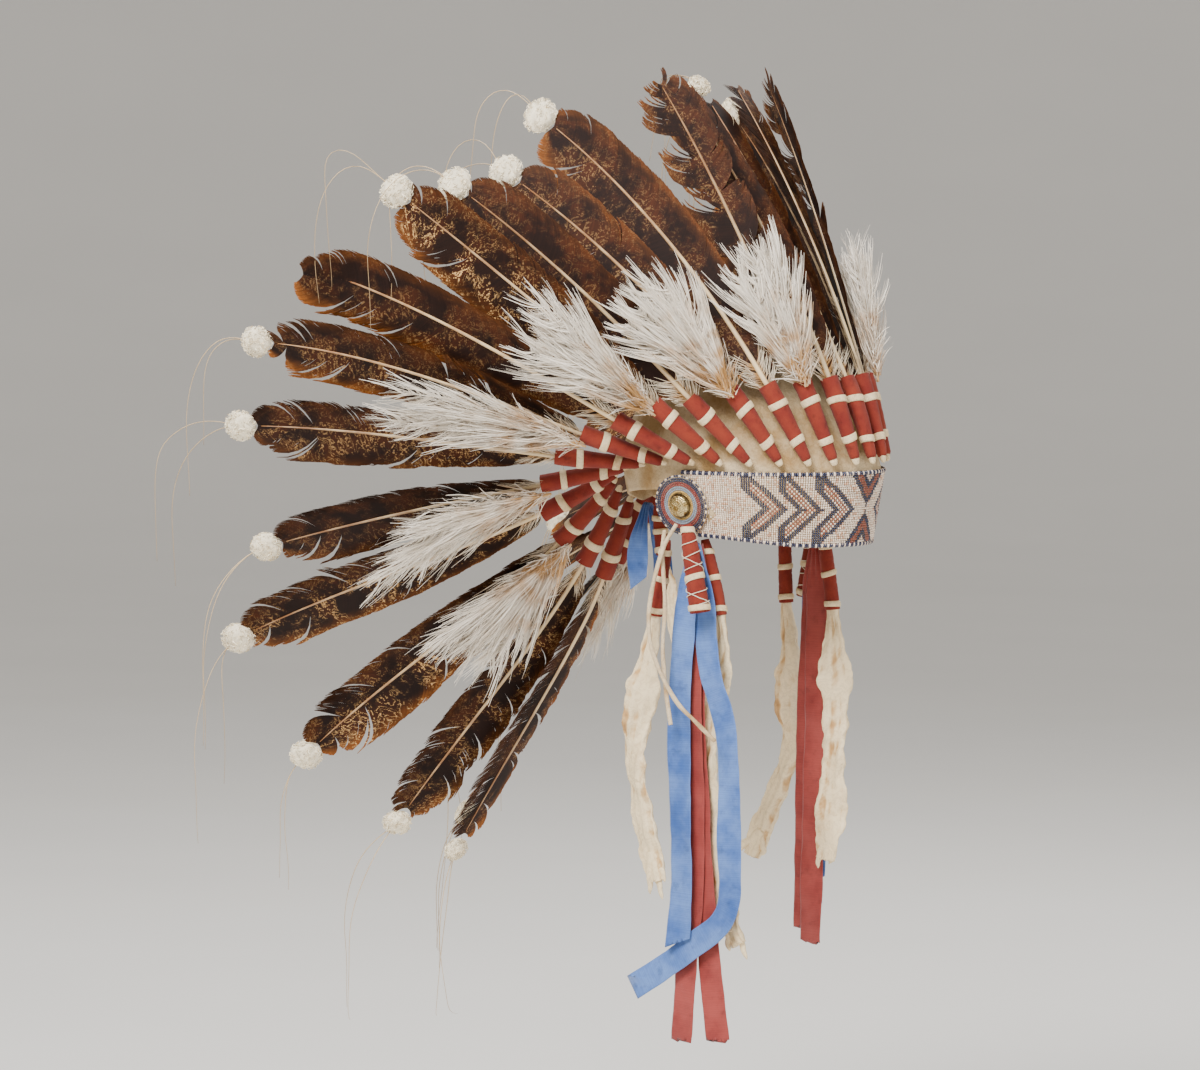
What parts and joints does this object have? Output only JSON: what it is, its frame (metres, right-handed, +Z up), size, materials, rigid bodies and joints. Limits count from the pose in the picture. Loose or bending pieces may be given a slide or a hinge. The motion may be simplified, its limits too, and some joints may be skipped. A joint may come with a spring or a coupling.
{
  "type": "feathered headdress",
  "caption": "Feathered headdress: a hide cap with a beaded brow band, a fan of wrapped tail feathers, down plumes, temple rosettes and hanging hide drops and ribbons.",
  "frame": {"origin": "centre of the head opening, level with the top edge of the brow band, where the cap sits on a head", "axes": "+X to the wearer's front, +Y to the wearer's left, +Z up"},
  "size_m": [0.4575, 0.5062, 0.7023],
  "materials": {
    "cap_hide": "soft tanned hide, tan with cream patches",
    "beadwork": "opaque glass seed beads, loomed",
    "rosette_beadwork": "opaque glass seed beads in rings",
    "boss_brass": "domed, pebbled and worn bright",
    "feather": "dark brown barbs, mottled with cream, red wool at the base",
    "down": "loose white down, tan at the root",
    "furry_hide": "hide with short fur, stained, red wool wrapping at the top",
    "red_wool": "red wool wound with white thread",
    "blue_silk": "soft sheen, light selvedge",
    "red_silk": "soft sheen, frayed ends",
    "thong_hide": "narrow buckskin lace"
  },
  "bodies": {
    "root": {"cap": "cap_hide", "brow_band": "beadwork", "rosette_r": "rosette_beadwork", "boss_r": "boss_brass", "rosette_l": "rosette_beadwork", "boss_l": "boss_brass", "feather_00_m": "feather", "feather_14_m": "feather", "feather_01_r": "feather", "feather_02_r": "feather", "feather_03_r": "feather", "feather_04_r": "feather", "feather_05_r": "feather", "feather_06_r": "feather", "feather_07_r": "feather", "feather_08_r": "feather", "feather_09_r": "feather", "feather_10_r": "feather", "feather_11_r": "feather", "feather_12_r": "feather", "feather_13_r": "feather", "plume_02_r": "down", "plume_04_r": "down", "plume_06_r": "down", "plume_08_r": "down", "plume_10_r": "down", "plume_12_r": "down", "hide_drop_rear_r": "furry_hide", "hide_drop_front_r": "furry_hide", "wrapped_hanger_r": "red_wool", "blue_ribbon_r": "blue_silk", "red_ribbon_r": "red_silk", "feather_01_l": "feather", "feather_02_l": "feather", "feather_03_l": "feather", "feather_04_l": "feather", "feather_05_l": "feather", "feather_06_l": "feather", "feather_07_l": "feather", "feather_08_l": "feather", "feather_09_l": "feather", "feather_10_l": "feather", "feather_11_l": "feather", "feather_12_l": "feather", "feather_13_l": "feather", "plume_02_l": "down", "plume_04_l": "down", "plume_06_l": "down", "plume_08_l": "down", "plume_10_l": "down", "plume_12_l": "down", "hide_drop_rear_l": "furry_hide", "hide_drop_front_l": "furry_hide", "wrapped_hanger_l": "red_wool", "blue_ribbon_l": "blue_silk", "red_ribbon_l": "red_silk", "thong_long_r": "thong_hide", "thong_short_r": "thong_hide", "nape_drop": "furry_hide", "nape_ribbon": "blue_silk"}
  },
  "joints": []
}
